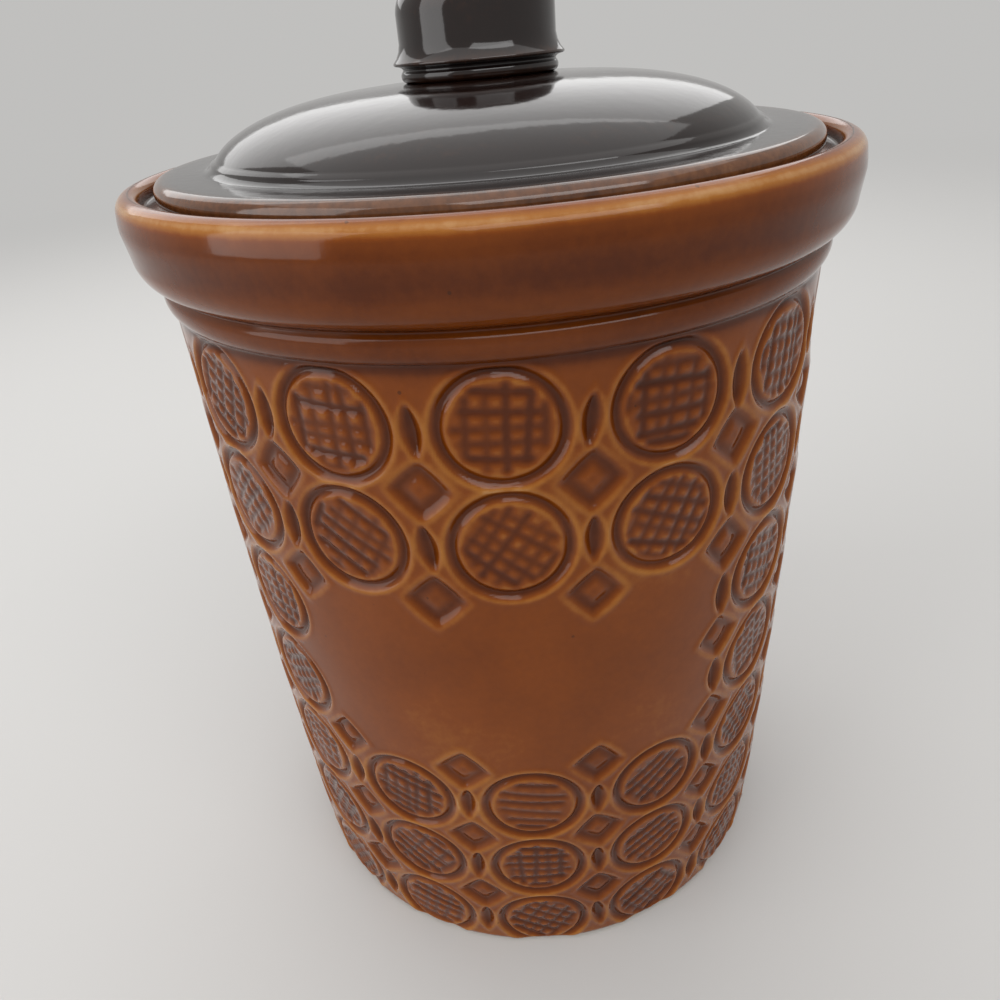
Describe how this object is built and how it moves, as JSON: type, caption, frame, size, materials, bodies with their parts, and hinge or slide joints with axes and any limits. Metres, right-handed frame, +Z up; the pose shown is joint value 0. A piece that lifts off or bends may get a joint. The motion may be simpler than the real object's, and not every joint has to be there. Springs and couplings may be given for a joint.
{
  "type": "rumtopf pot",
  "caption": "Straight lidded stoneware crock for steeping fruit, with a moulded pattern of hatched ovals, a heavy collar with an inner seat, and a domed lid with a knob.",
  "frame": {"origin": "middle of the foot ring, on the surface that the pot stands on", "axes": "+Z up through the knob; the bare front panel faces -Y; +X is to the right of a viewer who faces the panel"},
  "size_m": [0.2144, 0.2144, 0.3048],
  "materials": {
    "honey_glaze": "gloss",
    "dark_glaze": "high gloss",
    "bare_clay": "matt"
  },
  "bodies": {
    "crock": {"pot": "honey_glaze"},
    "cover": {"lid": "dark_glaze", "knob": "dark_glaze"}
  },
  "joints": [
    {"name": "lid_lift", "type": "slide", "parent": "crock", "child": "cover", "axis": [0, 0, 1], "range_m": [0, 0.16]}
  ]
}
